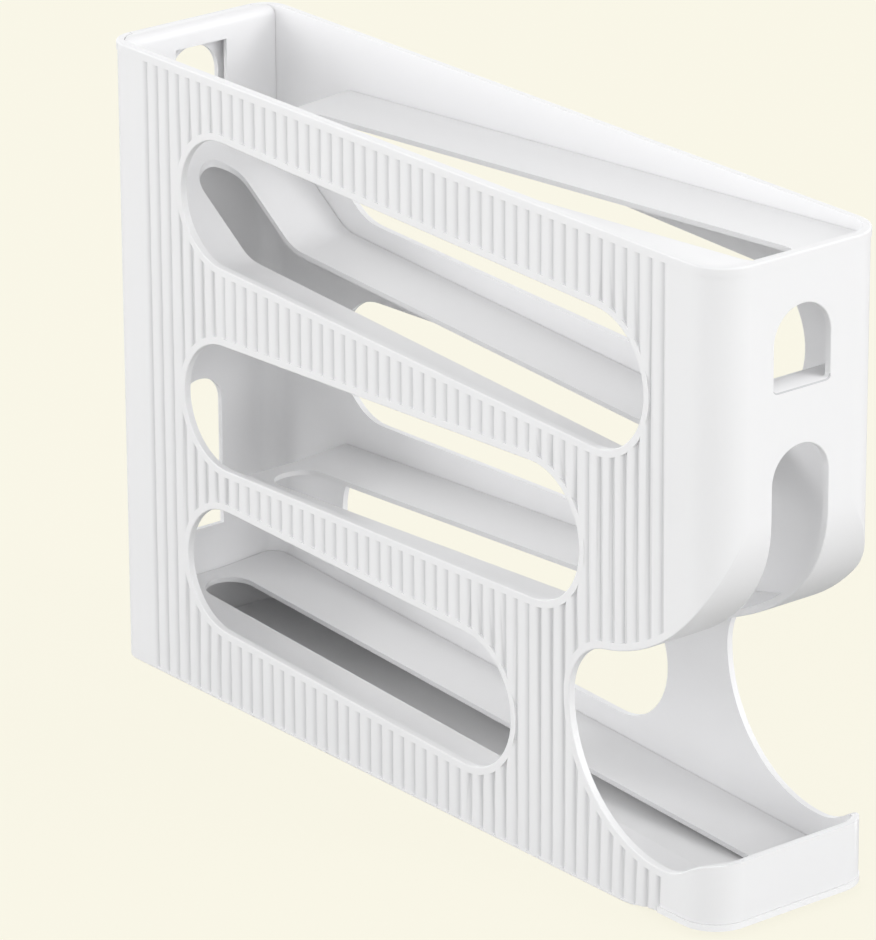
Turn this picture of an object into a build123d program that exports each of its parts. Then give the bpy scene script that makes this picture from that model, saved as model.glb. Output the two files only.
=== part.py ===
"""Rolling egg dispenser: four sloping tracks inside one ribbed housing with an open tray.

Millimetres, +Z up. The origin lies on the ground in the middle of the footprint, and +X points
to the open tray. Stations run along the length from the outer face of the back wall, margins
from the outer face of the front wall, and shares are parts of the body's height.
"""

import os
from math import cos, radians

from build123d import *

os.makedirs("parts", exist_ok=True)

# Housing
body_length = 363.2
body_width = 80.8
body_height = 259.7
wall = 2.8
back_corner_radius = 10.9
front_corner_radius = 15.1
rim_height = 3.6
rim_proud = 0.4
rim_rounding = 0.9

# Vertical flutes in the two side walls
flute_pitch = 6.84
flute_width = 4.6
flute_depth = 0.85
flute_back_station = 25.4
flute_front_margin = 30.2
smooth_border = 3.0
foot_band = 1.0

# Racetrack windows in the side walls: the back arcs share one station
window_back_station = 73.0
window_back_radius_share = 0.0993
window_front_radius_share = 0.104
upper_window_front_margin = 67.2
upper_window_back_share = 0.8048
upper_window_front_share = 0.7778
middle_window_front_margin = 102.7
middle_window_back_share = 0.4833
middle_window_front_share = 0.5083
lower_window_front_margin = 142.2
lower_window_back_share = 0.2176
lower_window_front_share = 0.1983

# Curved front below the chin line and the open mouth of the tray
chin_share = 0.6107
chin_radius_share = 0.2002
chin_turn = 41.7
belly_radius_share = 0.3208
belly_turn = 38.5
throat_radius_share = 0.0924
jaw_radius_share = 0.2049
jaw_turn = 90.0
lip_radius_share = 0.0901
lip_turn = 35.3
chin_slot_margin = 52.2

# Arched windows in the front and back walls
front_window_width = 27.0
sill_corner_radius = 2.0
upper_front_sill_share = 0.8009
upper_front_top_share = 0.9222
lower_front_top_share = 0.7166
sill_shelf_depth = 9.5
back_window_width = 24.0
back_sill_share = 0.851
back_top_share = 0.9588
lower_back_window_width = 21.8
lower_back_sill_share = 0.1694
lower_back_top_share = 0.4182

# Tracks: sheet, central slot and the ledges they rest on
track_sheet = 2.0
track_dip = 1.6
track_seat = 4.0
slot_width = 21.2
slot_end_margin = 8.0
clearance = 0.3
ledge_width = 3.0
ledge_thickness = 1.5
top_ledge_back_station = 97.0
top_ledge_front_share = 0.94
second_ledge_back_share = 0.06
bottom_ledge_back_share = 0.03

# Top track, falling to the back
top_track_back_station = 55.0
top_track_back_share = 0.9007
top_track_front_share = 0.9782

# Second track, falling to the front, with its curved back guide
second_track_knee_station = 51.5
second_track_knee_share = 0.6739
second_track_front_margin = 51.2
second_track_front_share = 0.6187
guide_face_station = 8.2
guide_slope = 0.7
guide_head_length = 11.2
guide_bend_radius = 20.0

# Third track, falling to the back from the end of the chin
third_track_back_station = 50.0
third_track_back_share = 0.3235
third_track_front_share = 0.3767

# Bottom track, falling to the tray, level in the tray
bottom_track_back_share = 0.0955
tray_margin = 28.2
tray_gap = 0.7

# Back panel that guides the eggs down from the top track
panel_thickness = 2.0
panel_face_station = 8.0
panel_bend_radius = 4.0
panel_window_width = 25.0
panel_window_top_share = 0.9646
panel_lip = 0.7
panel_flange_width = 59.0

# Base plate with the nose that closes the front below the tray
plate_thickness = 2.4
plate_height = 2.8
nose_relief_margin = 51.2
nose_margin = 30.2

overrun = 5.0
inner_half_width = body_width / 2 - wall
body_middle = body_length / 2
side_plane = Plane(origin=(-body_middle, 0, 0), x_dir=(1, 0, 0), z_dir=(0, -1, 0))

window_back_radius = body_height * window_back_radius_share
window_front_radius = body_height * window_front_radius_share
side_windows = (
    (upper_window_front_margin, upper_window_back_share, upper_window_front_share),
    (middle_window_front_margin, middle_window_back_share, middle_window_front_share),
    (lower_window_front_margin, lower_window_back_share, lower_window_front_share),
)

chin_height = body_height * chin_share
chin_radius = body_height * chin_radius_share
belly_radius = body_height * belly_radius_share
throat_radius = body_height * throat_radius_share
jaw_radius = body_height * jaw_radius_share
lip_radius = body_height * lip_radius_share
upper_front_sill = body_height * upper_front_sill_share
upper_front_top = body_height * upper_front_top_share
lower_front_top = body_height * lower_front_top_share
back_sill = body_height * back_sill_share


def footprint(inset):
    """Outline of the body seen from above, moved inwards by the inset."""
    with BuildSketch(mode=Mode.PRIVATE) as outline:
        for end, radius in ((-1, back_corner_radius), (1, front_corner_radius)):
            along = end * (body_middle - radius)
            across = body_width / 2 - radius
            with Locations((along, across), (along, -across)):
                Circle(radius - inset)
        make_hull()
    return outline.sketch


def side_window(front_margin, back_share, front_share, border):
    """One racetrack window of a side wall, widened by the border."""
    with BuildSketch(mode=Mode.PRIVATE) as window:
        with Locations((window_back_station, body_height * back_share)):
            Circle(window_back_radius + border)
        with Locations((body_length - front_margin, body_height * front_share)):
            Circle(window_front_radius + border)
        make_hull()
    return window.sketch


def mouth(border):
    """Side view of the open mouth of the tray, run past the front face and widened by the border."""
    with BuildSketch(mode=Mode.PRIVATE) as outline:
        with BuildLine():
            chin = JernArc((body_length, chin_height), (0, -1), chin_radius, -chin_turn)
            belly = JernArc(chin @ 1, chin % 1, belly_radius, -belly_turn)
            throat = JernArc(belly @ 1, belly % 1, throat_radius, chin_turn + belly_turn)
            jaw = JernArc(throat @ 1, throat % 1, jaw_radius, jaw_turn)
            hollow = JernArc(jaw @ 1, jaw % 1, lip_radius, lip_turn)
            lip = JernArc(hollow @ 1, hollow % 1, lip_radius, -lip_turn)
            past = body_length + overrun
            Polyline(lip @ 1, (past, (lip @ 1).Y), (past, chin_height), chin @ 0)
        make_face()
        if border:
            offset(amount=border)
    return outline.sketch


def chin_sheet():
    """Side view of the curved sheet over the mouth, run down into the mouth."""
    with BuildSketch(mode=Mode.PRIVATE) as section:
        with BuildLine():
            start = (body_length - wall, chin_height)
            chin = JernArc(start, (0, -1), chin_radius - wall, -chin_turn)
            belly = JernArc(chin @ 1, chin % 1, belly_radius - wall, -belly_turn)
            past = body_length + overrun
            heel = belly @ 1 + Vector(-(belly % 1).Y, (belly % 1).X) * wall
            Polyline(belly @ 1, heel, (past, heel.Y), (past, chin_height), chin @ 0)
        make_face()
    return section.sketch


def arched_window(width, sill, top, corner_radius=0):
    """End view of a window with a straight sill and a round arch, centred on the width."""
    with BuildSketch(mode=Mode.PRIVATE) as window:
        spring = top - width / 2
        with Locations((0, spring)):
            Circle(width / 2)
        with Locations((0, (sill + spring) / 2)):
            Rectangle(width, spring - sill)
        if corner_radius:
            fillet(window.vertices().group_by(Axis.Y)[0], radius=corner_radius)
    return window.sketch


def flute(side):
    """One flute of a side wall seen from above: two flanks that meet in a valley."""
    face = side * body_width / 2
    outside = face + side * overrun
    corners = [
        (-flute_width / 2, outside),
        (-flute_width / 2, face),
        (0, face - side * flute_depth),
        (flute_width / 2, face),
        (flute_width / 2, outside),
    ]
    with BuildSketch(mode=Mode.PRIVATE) as section:
        with BuildLine():
            Polyline(*corners, close=True)
        make_face()
    return section.sketch


def track_section():
    """Cross-section of a track: two seats on the ledges, two rails dipping to the slot."""
    half_width = inner_half_width - clearance
    seat_edge = half_width - track_seat
    right_side = [
        (slot_width / 2, 0),
        (seat_edge, track_dip),
        (half_width, track_dip),
        (half_width, track_dip - track_sheet),
        (seat_edge, track_dip - track_sheet),
        (slot_width / 2, -track_sheet),
    ]
    left_side = [(-across, up) for across, up in reversed(right_side)]
    with BuildSketch(mode=Mode.PRIVATE) as section:
        with BuildLine():
            Polyline(*right_side, *left_side, close=True)
        make_face()
    return section.sketch


def at(station, height):
    """Point on the middle plane of the body."""
    return Vector(station - body_middle, 0, height)


def across_plane(start, end):
    """Plane across a track at its start, facing along it, with the heights upwards."""
    return Plane(origin=start, x_dir=(0, 1, 0), z_dir=end - start)


# Ends of the straight runs of the four tracks
top_track_front_station = body_length - wall - clearance
top_track_back = at(top_track_back_station, body_height * top_track_back_share)
top_track_front = at(top_track_front_station, body_height * top_track_front_share)

second_track_front_station = body_length - second_track_front_margin
second_track_back = at(second_track_knee_station, body_height * second_track_knee_share)
second_track_front = at(second_track_front_station, body_height * second_track_front_share)
guide_rise = guide_slope * (second_track_knee_station - guide_face_station)
guide_bend = at(guide_face_station, second_track_back.Z + guide_rise)
guide_top = at(guide_face_station, guide_bend.Z + guide_head_length)

both_turns = chin_turn + belly_turn
chin_run = (chin_radius - wall) * (1 - cos(radians(chin_turn)))
belly_run = (belly_radius - wall) * (cos(radians(chin_turn)) - cos(radians(both_turns)))
third_track_front_station = body_length - wall - chin_run - belly_run - clearance
third_track_back = at(third_track_back_station, body_height * third_track_back_share)
third_track_front = at(third_track_front_station, body_height * third_track_front_share)

bottom_track_back_station = wall + clearance
tray_station = body_length - tray_margin
tray_height = plate_height + plate_thickness + tray_gap + track_sheet
bottom_track_back = at(bottom_track_back_station, body_height * bottom_track_back_share)
bottom_track_tray = at(tray_station, tray_height)

# Straight runs of the tracks with the shares of their length over which a ledge carries them
top_track_length = top_track_front_station - top_track_back_station
top_ledge_back_share = (top_ledge_back_station - top_track_back_station) / top_track_length
ledge_runs = (
    (top_track_back, top_track_front, top_ledge_back_share, top_ledge_front_share),
    (second_track_back, second_track_front, second_ledge_back_share, 1),
    (third_track_back, third_track_front, 0, 1),
    (bottom_track_back, bottom_track_tray, bottom_ledge_back_share, 1),
)

# Cavity of the housing: everything inside the walls but the chin sheet, the shelf behind the
# upper front window and the ledges under the tracks
with BuildPart() as cavity:
    with BuildSketch(Plane.XY.offset(-overrun)):
        add(footprint(wall))
    extrude(amount=body_height + 2 * overrun)
    with BuildSketch(side_plane):
        add(chin_sheet())
        shelf_start = body_length - wall - sill_shelf_depth
        shelf_length = sill_shelf_depth + wall
        with Locations((shelf_start + shelf_length / 2, upper_front_sill - wall / 2)):
            SlotOverall(shelf_length + wall, wall)
    extrude(amount=body_width, both=True, mode=Mode.SUBTRACT)
    for run_start, run_end, first_share, last_share in ledge_runs:
        run = run_end - run_start
        first = run_start + run * first_share
        last = run_start + run * last_share
        with BuildSketch(across_plane(first, last)):
            seat_middle = inner_half_width - ledge_width / 2
            seat_height = track_dip - track_sheet - ledge_thickness / 2
            with Locations((seat_middle, seat_height), (-seat_middle, seat_height)):
                Rectangle(ledge_width, ledge_thickness)
        extrude(amount=(last - first).length, mode=Mode.SUBTRACT)

# Flutes of both side walls, from the foot band up to the rim, stopped short of the windows
# and the mouth
with BuildPart() as flutes:
    flute_span = body_length - flute_back_station - flute_front_margin
    flute_gaps = round(flute_span / flute_pitch)
    flute_middle = flute_back_station + flute_gaps * flute_pitch / 2 - body_middle
    with BuildSketch(Plane.XY.offset(foot_band)):
        with Locations((flute_middle, 0)):
            with GridLocations(flute_pitch, 1, flute_gaps + 1, 1):
                add(flute(-1))
                add(flute(1))
    extrude(amount=body_height - rim_height - foot_band)
    with BuildSketch(side_plane):
        add(mouth(smooth_border))
        for window in side_windows:
            add(side_window(*window, smooth_border))
    extrude(amount=body_width, both=True, mode=Mode.SUBTRACT)

# Housing: one ribbed moulding with side windows, end windows, chin and tray front
with BuildPart() as housing:
    with BuildSketch():
        add(footprint(0))
    extrude(amount=body_height)
    with BuildSketch(Plane.XY.offset(body_height - rim_height)):
        add(footprint(-rim_proud))
    extrude(amount=rim_height)
    add(cavity.part, mode=Mode.SUBTRACT)
    add(flutes.part, mode=Mode.SUBTRACT)
    with BuildSketch(side_plane):
        add(mouth(0))
        for window in side_windows:
            add(side_window(*window, 0))
    extrude(amount=body_width, both=True, mode=Mode.SUBTRACT)
    with BuildSketch(side_plane):
        with BuildLine():
            relief_start = (body_length - nose_relief_margin, 0)
            relief_end = (body_length - nose_margin, plate_height)
            relief = Spline(relief_start, relief_end, tangents=((1, 0), (1, 0)))
            past = body_length + overrun
            nose_top = plate_height + plate_thickness
            Polyline(
                relief @ 1,
                (body_length - nose_margin, nose_top),
                (past, nose_top),
                (past, -overrun),
                (body_length - nose_relief_margin, -overrun),
                relief @ 0,
            )
        make_face()
    extrude(amount=body_width, both=True, mode=Mode.SUBTRACT)
    with BuildSketch(Plane.YZ.offset(body_middle - wall - overrun)):
        upper_front_ends = (upper_front_sill, upper_front_top)
        add(arched_window(front_window_width, *upper_front_ends, sill_corner_radius))
        add(arched_window(front_window_width, chin_height, lower_front_top))
    extrude(amount=wall + 2 * overrun, mode=Mode.SUBTRACT)
    with BuildSketch(Plane.XY.offset(chin_height - belly_radius)):
        slot_length = chin_slot_margin + front_window_width
        with Locations((body_middle - chin_slot_margin + slot_length / 2, 0)):
            SlotOverall(slot_length, front_window_width)
    extrude(amount=belly_radius, mode=Mode.SUBTRACT)
    with BuildSketch(Plane.YZ.offset(-body_middle - overrun)):
        lower_back_sill = body_height * lower_back_sill_share
        lower_back_top = body_height * lower_back_top_share
        add(arched_window(back_window_width, back_sill, body_height * back_top_share))
        add(arched_window(lower_back_window_width, lower_back_sill, lower_back_top))
    extrude(amount=2 * overrun, mode=Mode.SUBTRACT)
    with BuildSketch(Plane.XY.offset(body_height - panel_thickness)):
        rebate_length = wall + clearance
        with Locations((panel_lip + rebate_length / 2 - body_middle, 0)):
            Rectangle(rebate_length, panel_flange_width + 2 * clearance)
    extrude(amount=panel_thickness + overrun, mode=Mode.SUBTRACT)
    rim_top = housing.faces().sort_by(Axis.Z)[-1]
    fillet(rim_top.outer_wire().edges(), radius=rim_rounding)

housing.part.label = "housing"
export_step(housing.part, "parts/housing.step")


def finish_track(slot_back, slot_front):
    """Trims a track to the inside of the housing and cuts its slot between two stations."""
    with BuildSketch(Plane.XY.offset(-overrun)) as inside:
        add(footprint(wall + clearance))
    extrude(inside.sketch, amount=body_height + 2 * overrun, mode=Mode.INTERSECT)
    with BuildSketch(Plane.XY.offset(-overrun)) as slot:
        with Locations(((slot_back + slot_front) / 2 - body_middle, 0)):
            SlotOverall(slot_front - slot_back, slot_width)
    extrude(slot.sketch, amount=body_height + 2 * overrun, mode=Mode.SUBTRACT)


# Top track, straight, falling to the back
with BuildPart() as top_track:
    with BuildSketch(across_plane(top_track_back, top_track_front)):
        add(track_section())
    extrude(amount=(top_track_front - top_track_back).length)
    finish_track(
        top_track_back_station + slot_end_margin,
        top_track_front_station - slot_end_margin,
    )
top_track.part.label = "top_track"
export_step(top_track.part, "parts/top_track.step")

# Second track, falling to the front, bent up at the back into a guide
with BuildPart() as second_track:
    with BuildLine() as second_run:
        FilletPolyline(
            guide_top,
            guide_bend,
            second_track_back,
            second_track_front,
            radius=guide_bend_radius,
        )
    with BuildSketch(across_plane(second_track_front, second_track_back)):
        add(track_section(), rotation=180)
    sweep()
    finish_track(
        guide_face_station + slot_end_margin / 2,
        second_track_front_station - slot_end_margin,
    )
second_track.part.label = "second_track"
export_step(second_track.part, "parts/second_track.step")

# Third track, straight, falling to the back
with BuildPart() as third_track:
    with BuildSketch(across_plane(third_track_back, third_track_front)):
        add(track_section())
    extrude(amount=(third_track_front - third_track_back).length)
    finish_track(
        third_track_back_station + slot_end_margin,
        third_track_front_station - slot_end_margin,
    )
third_track.part.label = "third_track"
export_step(third_track.part, "parts/third_track.step")

# Bottom track, falling to the tray, level in the tray
with BuildPart() as bottom_track:
    with BuildLine() as bottom_run:
        Polyline(
            bottom_track_back,
            bottom_track_tray,
            at(body_length, tray_height),
        )
    with BuildSketch(across_plane(bottom_track_back, bottom_track_tray)):
        add(track_section())
    sweep(transition=Transition.RIGHT)
    finish_track(
        bottom_track_back_station + slot_end_margin,
        tray_station,
    )
bottom_track.part.label = "bottom_track"
export_step(bottom_track.part, "parts/bottom_track.step")

# Back panel, hooked over the top of the back wall, down to the guide of the second track
with BuildPart() as back_panel:
    panel_bottom = guide_top.Z + clearance
    with BuildSketch(Plane.XY.offset(panel_bottom)):
        add(footprint(wall + clearance))
    extrude(amount=body_height - panel_bottom)
    with BuildSketch(side_plane):
        with BuildLine():
            bend = body_height - panel_bend_radius
            underside = body_height - panel_thickness
            inner_radius = panel_bend_radius - panel_thickness
            back_face = panel_face_station - panel_thickness
            face = Line((panel_face_station, panel_bottom), (panel_face_station, bend))
            crown = JernArc(face @ 1, face % 1, panel_bend_radius, 90)
            Polyline(crown @ 1, (0, body_height), (0, underside))
            flange = Line((0, underside), (panel_face_station - panel_bend_radius, underside))
            hollow = JernArc(flange @ 1, flange % 1, inner_radius, -90)
            Polyline(hollow @ 1, (back_face, panel_bottom), face @ 0)
        make_face()
    extrude(amount=body_width, both=True, mode=Mode.INTERSECT)
    with BuildSketch(Plane.XY.offset(body_height - panel_thickness)):
        flange_back = panel_lip + clearance
        flange_length = panel_face_station - panel_bend_radius - flange_back
        with Locations((flange_back + flange_length / 2 - body_middle, 0)):
            Rectangle(flange_length, panel_flange_width)
    extrude(amount=panel_thickness)
    with BuildSketch(Plane.YZ.offset(panel_face_station - panel_thickness - overrun - body_middle)):
        panel_window_top = body_height * panel_window_top_share
        with Locations((0, (back_sill + panel_window_top) / 2)):
            Rectangle(panel_window_width, panel_window_top - back_sill)
    extrude(amount=2 * overrun, mode=Mode.SUBTRACT)
back_panel.part.label = "back_panel"
export_step(back_panel.part, "parts/back_panel.step")

# Base plate, inside the walls along the sides and under the front wall at the tray
with BuildPart() as base_plate:
    with BuildSketch(Plane.XY.offset(plate_height)):
        add(footprint(-rim_proud))
        behind_nose = body_length - nose_margin + clearance + overrun
        with Locations((behind_nose / 2 - overrun - body_middle, 0)):
            Rectangle(behind_nose, body_width + 2 * overrun, mode=Mode.SUBTRACT)
        add(footprint(wall + clearance))
    extrude(amount=plate_thickness)
base_plate.part.label = "base_plate"
export_step(base_plate.part, "parts/base_plate.step")
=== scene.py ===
"""Rolling egg dispenser on a pale table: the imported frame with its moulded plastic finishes."""

import bmesh
import bpy
import numpy as np
from mathutils import Matrix, Vector


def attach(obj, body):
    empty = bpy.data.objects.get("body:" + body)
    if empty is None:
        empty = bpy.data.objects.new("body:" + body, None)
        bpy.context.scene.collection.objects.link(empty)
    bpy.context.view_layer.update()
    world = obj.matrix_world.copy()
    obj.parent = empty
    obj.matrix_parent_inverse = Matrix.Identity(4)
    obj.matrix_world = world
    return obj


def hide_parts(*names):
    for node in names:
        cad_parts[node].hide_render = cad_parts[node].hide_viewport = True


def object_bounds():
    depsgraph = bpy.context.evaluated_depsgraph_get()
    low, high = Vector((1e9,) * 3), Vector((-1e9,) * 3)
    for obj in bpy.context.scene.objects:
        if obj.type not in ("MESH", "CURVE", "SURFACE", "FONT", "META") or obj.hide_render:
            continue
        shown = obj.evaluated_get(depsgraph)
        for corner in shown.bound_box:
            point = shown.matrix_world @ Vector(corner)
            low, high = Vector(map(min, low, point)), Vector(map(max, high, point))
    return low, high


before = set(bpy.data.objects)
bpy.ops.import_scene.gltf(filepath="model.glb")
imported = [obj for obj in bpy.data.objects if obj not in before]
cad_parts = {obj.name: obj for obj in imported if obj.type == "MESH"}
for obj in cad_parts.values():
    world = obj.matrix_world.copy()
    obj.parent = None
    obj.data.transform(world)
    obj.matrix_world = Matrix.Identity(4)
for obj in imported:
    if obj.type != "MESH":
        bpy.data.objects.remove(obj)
cad_box = [list(corner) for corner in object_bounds()]


# Housing. One large moulding in white satin plastic, with fluted sides, windows, a curved chin
# over the tray and a bead round the open top. Every other piece is fitted into it. The packed
# shape is kept, and its edges and shading get the softness of a moulded skin.
def feed(tree, socket, value):
    """Gives a socket its value: a link from another socket, or a number or colour of its own."""
    if isinstance(value, bpy.types.NodeSocket):
        tree.links.new(value, socket)
    else:
        socket.default_value = value


def noise(tree, scale, detail):
    """Noise over the object's own coordinates, with the scale in cells per metre."""
    place = tree.nodes.new("ShaderNodeTexCoord")
    cells = tree.nodes.new("ShaderNodeTexNoise")
    cells.inputs["Scale"].default_value = scale
    cells.inputs["Detail"].default_value = detail
    tree.links.new(place.outputs["Object"], cells.inputs["Vector"])
    return cells.outputs["Fac"]


def mixed_colour(tree, share, first, second):
    """Colour that goes from the first to the second as the share goes from 0 to 1."""
    mix = tree.nodes.new("ShaderNodeMix")
    mix.data_type = "RGBA"
    feed(tree, mix.inputs["Factor"], share)
    feed(tree, mix.inputs["A"], first)
    feed(tree, mix.inputs["B"], second)
    return mix.outputs["Result"]


def worked_out(tree, operation, *terms, clamped=False):
    """One step of arithmetic on numbers or sockets, kept between 0 and 1 where clamped."""
    step = tree.nodes.new("ShaderNodeMath")
    step.operation = operation
    step.use_clamp = clamped
    for socket, term in zip(step.inputs, terms):
        feed(tree, socket, term)
    return step.outputs[0]


def satin_plastic(name, colour, gloss_low, gloss_high, grain):
    """Moulded plastic. A broad noise, like the flow of the melt, takes the roughness from its low
    to its high value and dims the colour a little where it is low. A fine noise, like pores,
    raises the surface by the grain's share of their depth."""
    refraction, dimmest = 1.47, 0.985
    flow_scale, flow_detail, flow_low, flow_high = 26.0, 4.0, 0.3, 0.7
    pore_scale, pore_detail, pore_depth = 2600.0, 2.0, 0.0001
    material = bpy.data.materials.new(name)
    material.use_nodes = True
    tree = material.node_tree
    skin = tree.nodes["Principled BSDF"]
    skin.inputs["IOR"].default_value = refraction

    flow = noise(tree, flow_scale, flow_detail)
    gloss = tree.nodes.new("ShaderNodeMapRange")
    gloss.inputs["From Min"].default_value = flow_low
    gloss.inputs["From Max"].default_value = flow_high
    gloss.inputs["To Min"].default_value = gloss_low
    gloss.inputs["To Max"].default_value = gloss_high
    tree.links.new(flow, gloss.inputs["Value"])
    tree.links.new(gloss.outputs["Result"], skin.inputs["Roughness"])

    dim = (*[dimmest * part for part in colour], 1)
    shade = mixed_colour(tree, flow, dim, (*colour, 1))
    tree.links.new(shade, skin.inputs["Base Color"])

    lift = tree.nodes.new("ShaderNodeBump")
    lift.inputs["Strength"].default_value = grain
    lift.inputs["Distance"].default_value = pore_depth
    tree.links.new(noise(tree, pore_scale, pore_detail), lift.inputs["Height"])
    tree.links.new(lift.outputs["Normal"], skin.inputs["Normal"])
    return material


def triples(items, field):
    """One field of a mesh collection as an array with a row of three numbers for each item."""
    values = np.empty(len(items) * 3, np.float32)
    items.foreach_get(field, values)
    return values.reshape(-1, 3)


def wholes(items, field):
    """One whole-number field of a mesh collection as an array."""
    values = np.empty(len(items), np.int32)
    items.foreach_get(field, values)
    return values


class Faces:
    """A mesh as arrays. Each corner has its point, place and face. Each face has its first
    corner, its number of corners and the direction that it faces."""

    def __init__(self, mesh):
        self.points = triples(mesh.vertices, "co")
        self.point_of_corner = wholes(mesh.loops, "vertex_index")
        self.places = self.points[self.point_of_corner]
        self.first_corners = wholes(mesh.polygons, "loop_start")
        self.sizes = wholes(mesh.polygons, "loop_total")
        self.of_corner = np.repeat(np.arange(len(self.sizes)), self.sizes)
        self.facing = triples(mesh.polygon_normals, "vector")

    def least(self, values):
        """Least value over the corners of each face."""
        return np.minimum.reduceat(values, self.first_corners)

    def most(self, values):
        """Greatest value over the corners of each face."""
        return np.maximum.reduceat(values, self.first_corners)

    def mean(self, values):
        """Sum over the corners of each face, divided by their number."""
        return np.add.reduceat(values, self.first_corners) / self.sizes


def merged_copy(name):
    """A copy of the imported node's mesh with its loose triangles merged into flat faces."""
    merge_distance, flat_angle = 0.000001, 0.004
    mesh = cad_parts[name].data.copy()
    mesh.name = name + "_skin"
    mesh.attributes.remove(mesh.attributes["custom_normal"])
    work = bmesh.new()
    work.from_mesh(mesh)
    bmesh.ops.remove_doubles(work, verts=work.verts, dist=merge_distance)
    bmesh.ops.dissolve_limit(work, angle_limit=flat_angle, verts=work.verts, edges=work.edges)
    work.to_mesh(mesh)
    work.free()
    return mesh


def edge_turns(mesh, faces):
    """The two faces of each edge, and the angle in degrees between the ways that they face."""
    by_edge = np.argsort(wholes(mesh.loops, "edge_index"), kind="stable")
    one, other = faces.of_corner[by_edge].reshape(-1, 2).T
    cosine = np.sum(faces.facing[one] * faces.facing[other], axis=1)
    return one, other, np.degrees(np.arccos(np.clip(cosine, -1, 1)))


def unit(vectors):
    """Each vector divided by its length."""
    return vectors / np.linalg.norm(vectors, axis=1)[:, None]


def from_corner_axis(places):
    """How far each place lies beyond the axis of its round corner, along and across the body,
    and the corner's radius. It is the distance from the middle less that of the axis, or zero
    where the place lies between two axes."""
    radius = np.where(places[:, 0] > 0, front_corner, back_corner)
    along = np.maximum(np.abs(places[:, 0]) - (half_length - radius), 0)
    across = np.maximum(np.abs(places[:, 1]) - (half_width - radius), 0)
    return along, across, radius


def inset_of(places):
    """Depth under the body's outer face: the corner's radius less the distance to its axis."""
    along, across, radius = from_corner_axis(places)
    return radius - np.hypot(along, across)


def chin_faces(faces):
    """Faces of the chin's outer curve: they lean forwards and down within the chin's reach, and
    the ledges inside, which lean the same way, are told from them by their reach across."""
    along, up = faces.mean(faces.places[:, 0]), faces.mean(faces.places[:, 2])
    across = np.abs(faces.places[:, 1])
    on_ledge = (faces.least(across) > ledge_inner) & (faces.most(across) < ledge_outer)
    forwards, sideways, upwards = faces.facing.T
    leaning = (np.abs(sideways) < slight) & (upwards < -slight) & (forwards > slight)
    return leaning & (along > chin_back) & (up > chin_low) & (up < chin_top) & ~on_ledge


rim_proud = 0.0004
half_length = round(cad_box[1][0] - rim_proud, 4)
half_width = round(cad_box[1][1] - rim_proud, 4)
front_corner, back_corner, wall = 0.0151, 0.0109, 0.0028
chin_back, chin_low, chin_top = 0.119, 0.0965, 0.1587
hair, slight, square_on = 0.0001, 0.02, 0.001
ledge_inner, ledge_outer = 0.0345, half_width - wall + hair
shell_white = satin_plastic("shell_white", (0.872, 0.872, 0.880), 0.36, 0.44, 0.10)
shell_mesh = merged_copy("housing")

# Edges of the housing. Those between the outer face and a cut through the wall are rounded, the
# more the sharper they turn. The crease where the chin runs into the round corners is rounded
# too, and fades into a plain sharp line. All other edges over the sharp turn stay sharp.
edge_round, round_steps = 0.0005, 3
sharp_turn, round_from, round_full = 30, 20, 50
faces = Faces(shell_mesh)
one, other, swing = edge_turns(shell_mesh, faces)
depth = faces.most(inset_of(faces.places))
skin_face, cut_face, chin_face = depth < hair, depth > wall - 2 * hair, chin_faces(faces)
crease = (skin_face[one] & chin_face[other]) | (skin_face[other] & chin_face[one])
crease &= np.abs(faces.facing[one, 1] + faces.facing[other, 1]) > square_on
outer, inner = skin_face | chin_face, cut_face & ~chin_face
meets = (outer[one] & inner[other]) | (outer[other] & inner[one]) | crease
rounding = np.where(meets, np.clip((swing - round_from) / (round_full - round_from), 0, 1), 0)
sharp = ((swing > sharp_turn) | crease) & (rounding == 0)
shell_mesh.edges.foreach_set("use_edge_sharp", sharp)
shell_mesh.attributes.new("bevel_weight_edge", "FLOAT", "EDGE").data.foreach_set(
    "value", rounding.astype(np.float32)
)
shell_mesh.polygons.foreach_set("use_smooth", np.ones(len(faces.sizes), bool))

blank = bpy.data.objects.new("shell_blank", shell_mesh)
bpy.context.scene.collection.objects.link(blank)
bevel = blank.modifiers.new("edges", "BEVEL")
bevel.limit_method = "WEIGHT"
bevel.width = edge_round
bevel.segments = round_steps
bevel.use_clamp_overlap = False
weigh = blank.modifiers.new("flats", "WEIGHTED_NORMAL")
weigh.keep_sharp = True
depsgraph = bpy.context.evaluated_depsgraph_get()
skin_mesh = bpy.data.meshes.new_from_object(blank.evaluated_get(depsgraph))
bpy.data.objects.remove(blank)

# Plain faces of the housing. The flat sides and the front face are shaded flat, and each round
# corner is shaded as a true cylinder, whose normal points away from the corner's axis.
flat_cosine, flat_depth = 0.9999, 0.00005
normals = triples(skin_mesh.corner_normals, "vector")
skin_mesh.attributes.remove(skin_mesh.attributes["custom_normal"])
faces = Faces(skin_mesh)
places, facing = faces.places, faces.facing
side_depth = faces.most(half_width - np.abs(places[:, 1]))
side_flat = (np.abs(facing[:, 1]) > flat_cosine) & (side_depth < flat_depth)
on_side = side_flat[faces.of_corner]
normals[on_side] = facing[faces.of_corner[on_side]]

on_front = facing[faces.of_corner, 0] > flat_cosine
on_front &= np.abs(places[:, 0] - half_length) < flat_depth
normals[on_front] = (1, 0, 0)

along, across, radius = from_corner_axis(places)
outward = np.stack(
    [np.sign(places[:, 0]) * along, np.sign(places[:, 1]) * across, 0 * radius], axis=1
)
round_face = (np.abs(facing[:, 2]) < square_on) & (faces.most(inset_of(places)) < hair)
round_face &= (np.abs(facing[:, 0]) > square_on) & (np.abs(facing[:, 1]) > square_on)
on_round = round_face[faces.of_corner]
normals[on_round] = unit(outward[on_round])

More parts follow.
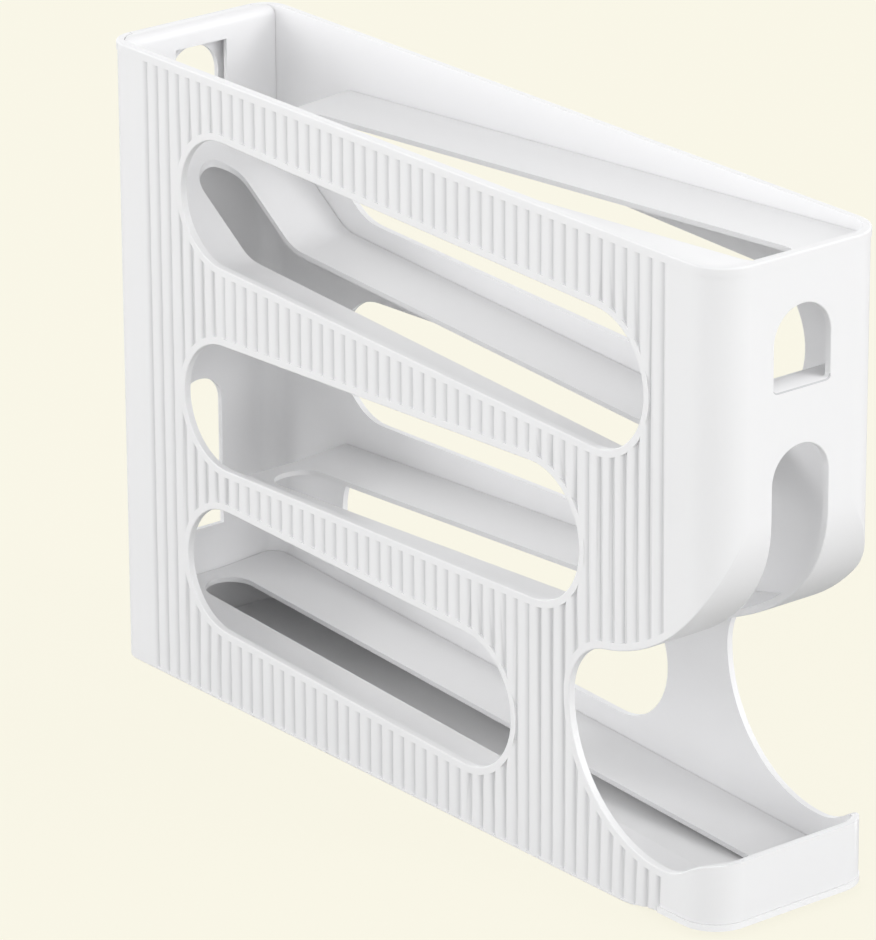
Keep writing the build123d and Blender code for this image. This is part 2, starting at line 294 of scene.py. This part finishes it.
# Chin. Its facets are shaded as one curve. The lean of each facet is read against its climb, its
# place along the body plus its height, and each corner takes the lean that belongs to its own
# climb. The curve starts upright at the top.
chin_face = chin_faces(faces)
on_chin = chin_face[faces.of_corner]
climb = places[:, 0] + places[:, 2]
facet_climb = faces.mean(climb)[chin_face]
facet_lean = np.arctan2(-facing[chin_face, 2], facing[chin_face, 0])
uphill = np.argsort(facet_climb)
known_climb = np.append(facet_climb[uphill], climb[on_chin].max())
known_lean = np.append(facet_lean[uphill], 0)
lean = np.interp(climb[on_chin], known_climb, known_lean)
normals[on_chin] = np.stack([np.cos(lean), 0 * lean, -np.sin(lean)], axis=1)

# Sill of the upper front window. It seems to roll over forwards: its normal leans further ahead
# the nearer it comes to the front face. A fine line of painted shadow darkens the colour under
# the lip.
sill_height, sill_back = 0.208, 0.168
sill_below, sill_above, sill_upwards, roll_lean = 0.0006, 0.0022, 0.6, 1.1
lip_depth, lip_ahead, lip_upwards, lip_shade = 0.0007, 0.99, 0.1, 0.75
shade = np.zeros(len(places), np.float32)
by_sill = (places[:, 2] > sill_height - sill_below) & (places[:, 2] < sill_height + sill_above)
on_sill = by_sill & (facing[faces.of_corner, 2] > sill_upwards) & (places[:, 0] > sill_back)
ahead_share = np.clip((places[on_sill, 0] - sill_back) / (half_length - sill_back), 0, 1)
forwards = roll_lean * ahead_share[:, None] * np.array([1, 0, 0])
normals[on_sill] = unit(facing[faces.of_corner[on_sill]] + forwards)
lip_face = faces.least(places[:, 0]) > half_length - lip_depth
lip_face &= (facing[:, 0] < lip_ahead) & (facing[:, 2] > lip_upwards)
shade[by_sill & lip_face[faces.of_corner]] = lip_shade

# Flutes. Each has two straight flanks. Their normals turn evenly from the rib's face to the
# valley, so that the flanks look like round shoulders, and the valley is moved a little deeper.
# Painted shade darkens the colour in each valley, more on the flank that faces the front, in
# place of the shade that falls in the grooves.
flute_width, packed_depth, flute_depth = 0.0046, 0.00085, 0.00095
valley_turn, flutes_reach = np.radians(40), 0.16
valley_from, valley_to = 0.0004, 0.001
back_shade, front_shade = 0.3, 0.5
flank_slope = packed_depth / np.hypot(packed_depth, flute_width / 2)
flank = np.abs(np.abs(facing[:, 0]) - flank_slope) < slight / 2
flank &= (np.abs(facing[:, 2]) < slight / 2) & (side_depth < valley_to)
on_flank = flank[faces.of_corner] & (np.abs(places[:, 0]) < flutes_reach)
in_valley = half_width - np.abs(places[on_flank, 1]) > valley_from
valley_points = np.unique(faces.point_of_corner[on_flank][in_valley])
side = np.sign(faces.points[valley_points, 1])
faces.points[valley_points, 1] = side * (half_width - flute_depth)
skin_mesh.vertices.foreach_set("co", faces.points.ravel())
flank_facing = facing[faces.of_corner[on_flank]]
tilt = valley_turn * in_valley
flank_sides = np.sign(flank_facing)
normals[on_flank] = np.stack(
    [np.sin(tilt) * flank_sides[:, 0], np.cos(tilt) * flank_sides[:, 1], 0 * tilt], axis=1
)
shade[on_flank] = in_valley * np.where(flank_facing[:, 0] < 0, back_shade, front_shade)
skin_mesh.normals_split_custom_set(normals)
skin_mesh.attributes.new("valley", "FLOAT", "CORNER").data.foreach_set("value", shade)

# Painted shade: the valley attribute mixes the colour towards a dark grey in the flute valleys
# and under the sill's lip.
painted_shade_grey, shade_bend = (0.40, 0.40, 0.42, 1), 1.5
tree = shell_white.node_tree
valley = tree.nodes.new("ShaderNodeAttribute")
valley.attribute_name = "valley"
colour_socket = tree.nodes["Principled BSDF"].inputs["Base Color"]
plain = colour_socket.links[0].from_socket
darkness = worked_out(tree, "POWER", valley.outputs["Fac"], shade_bend)
tree.links.new(mixed_colour(tree, darkness, plain, painted_shade_grey), colour_socket)

shell = bpy.data.objects.new("housing_skin", skin_mesh)
bpy.context.scene.collection.objects.link(shell)
skin_mesh.materials.clear()
skin_mesh.materials.append(shell_white)
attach(shell, "root")
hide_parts("housing")


# Back panel. A thin bent sheet of the same white plastic, moulded apart and hooked over the top
# of the back wall. It lines the back shaft above the guide of the second track.
def finish_node(name, material):
    """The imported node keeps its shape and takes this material."""
    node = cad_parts[name]
    for place in node.material_slots:
        place.material = material
    if not node.material_slots:
        node.data.materials.append(material)


finish_node("back_panel", shell_white)

# Base plate. A flat white moulding between the walls that closes the bottom. Its nose runs out
# under the tray front as a thin band, a little smoother than the housing. Its lighter white is
# painted light.
base_white_painted_lighter = satin_plastic("base_white_painted_lighter", (0.925, 0.925, 0.930), 0.30, 0.38, 0.06)
finish_node("base_plate", base_white_painted_lighter)

# Tracks. Four slotted white mouldings that lie on ledges along the side walls. Their rails are
# running surfaces, so they are smoother and a little glossier than the housing.
track_white = satin_plastic("track_white", (0.865, 0.865, 0.872), 0.30, 0.36, 0.05)
for track in ("top_track", "second_track", "third_track", "bottom_track"):
    finish_node(track, track_white)

# Table. A plain sheet that reaches past every view. The camera sees it in cream, at an even
# brightness, and the object gets the grey light and keeps its soft shadow.
floor_reach = 12.0
cream, cream_strength, cream_share = (0.947, 0.921, 0.791), 1.10, 0.85
table_grey = (0.43, 0.43, 0.42, 1)
floor_corners = floor_reach * np.array([[-1, -1, 0], [1, -1, 0], [1, 1, 0], [-1, 1, 0]])
floor_mesh = bpy.data.meshes.new("table_top")
floor_mesh.from_pydata(floor_corners.tolist(), [], [(0, 1, 2, 3)])
floor = bpy.data.objects.new("table_top", floor_mesh)
bpy.context.scene.collection.objects.link(floor)
floor_material = bpy.data.materials.new("cream_table")
floor_material.use_nodes = True
tree = floor_material.node_tree
tree.nodes.clear()
rays = tree.nodes.new("ShaderNodeLightPath")
matt = tree.nodes.new("ShaderNodeBsdfDiffuse")
matt.inputs["Color"].default_value = table_grey
glow = tree.nodes.new("ShaderNodeEmission")
glow.inputs["Color"].default_value = (*cream, 1)
glow.inputs["Strength"].default_value = cream_strength
blend = tree.nodes.new("ShaderNodeMixShader")
out = tree.nodes.new("ShaderNodeOutputMaterial")
seen_share = worked_out(tree, "MULTIPLY", rays.outputs["Is Camera Ray"], cream_share)
tree.links.new(seen_share, blend.inputs[0])
tree.links.new(matt.outputs[0], blend.inputs[1])
tree.links.new(glow.outputs[0], blend.inputs[2])
tree.links.new(blend.outputs[0], out.inputs["Surface"])
floor_mesh.materials.append(floor_material)

# Room light. White walls all round, brightest near the level of the table and dimmer overhead:
# the wall light times the square of one less the height, and the ceiling light times the height.
# Where the camera sees past the table it meets the same cream.
wall_light, ceiling_light = 2.55, 0.62
world = bpy.data.worlds.new("room")
bpy.context.scene.world = world
world.use_nodes = True
tree = world.node_tree
tree.nodes.clear()
rays = tree.nodes.new("ShaderNodeLightPath")
direction = tree.nodes.new("ShaderNodeTexCoord")
shares = tree.nodes.new("ShaderNodeSeparateXYZ")
tree.links.new(direction.outputs["Generated"], shares.inputs[0])
height = shares.outputs["Z"]
below = worked_out(tree, "SUBTRACT", 1.0, height, clamped=True)
walls = worked_out(tree, "MULTIPLY", worked_out(tree, "POWER", below, 2.0), wall_light)
air = tree.nodes.new("ShaderNodeBackground")
air.inputs["Color"].default_value = (1, 1, 1, 1)
strength = worked_out(tree, "MULTIPLY_ADD", height, ceiling_light, walls)
tree.links.new(strength, air.inputs["Strength"])
backdrop = tree.nodes.new("ShaderNodeBackground")
backdrop.inputs["Color"].default_value = (*cream, 1)
blend = tree.nodes.new("ShaderNodeMixShader")
out = tree.nodes.new("ShaderNodeOutputWorld")
tree.links.new(rays.outputs["Is Camera Ray"], blend.inputs[0])
tree.links.new(air.outputs[0], blend.inputs[1])
tree.links.new(backdrop.outputs[0], blend.inputs[2])
tree.links.new(blend.outputs[0], out.inputs["Surface"])


# Lamps. Two large soft squares. One lights the near side from beyond the back end, and one lights
# the front end from beyond the far side.
def soft_lamp(name, place, aim, size, power):
    """Square area lamp of this width in metres and power in watts that faces a point."""
    light = bpy.data.lights.new(name, "AREA")
    light.shape = "SQUARE"
    light.size = size
    light.energy = power
    lamp = bpy.data.objects.new(name, light)
    bpy.context.scene.collection.objects.link(lamp)
    lamp.location = place
    lamp.rotation_euler = (Vector(aim) - Vector(place)).to_track_quat("-Z", "Y").to_euler()


body_middle = (0, 0, 0.13)
soft_lamp("side_light", (-2.6, -3.3, 1.8), body_middle, 2.0, 35)
soft_lamp("end_light", (3.3, 1.7, 2.2), body_middle, 1.6, 42)

# Camera. A long lens at the photograph's viewpoint, looking down at the near side and the front.
# The view turns by the yaw, tips down by the pitch and leans by the roll.
yaw, pitch, roll = 0.893241, 0.366684, -0.0051915
camera_place = Vector((1.8198, -1.4853, 1.0245))
focal_pixels, picture_height, sensor_width, far_limit = 6589.137, 940, 36, 50
ahead = Vector((-np.sin(yaw) * np.cos(pitch), np.cos(yaw) * np.cos(pitch), -np.sin(pitch)))
level = Vector((np.cos(yaw), np.sin(yaw), 0))
upright = level.cross(ahead)
picture_right = np.cos(roll) * level + np.sin(roll) * upright
picture_up = -np.sin(roll) * level + np.cos(roll) * upright
camera_data = bpy.data.cameras.new("camera")
camera_data.sensor_width = sensor_width
camera_data.lens = sensor_width * (focal_pixels / picture_height)
camera_data.clip_end = far_limit
camera = bpy.data.objects.new("camera", camera_data)
bpy.context.scene.collection.objects.link(camera)
turn = Matrix((picture_right, picture_up, -ahead)).transposed()
camera.matrix_world = Matrix.Translation(camera_place) @ turn.to_4x4()
bpy.context.scene.camera = camera
bpy.context.scene.view_settings.view_transform = "Standard"
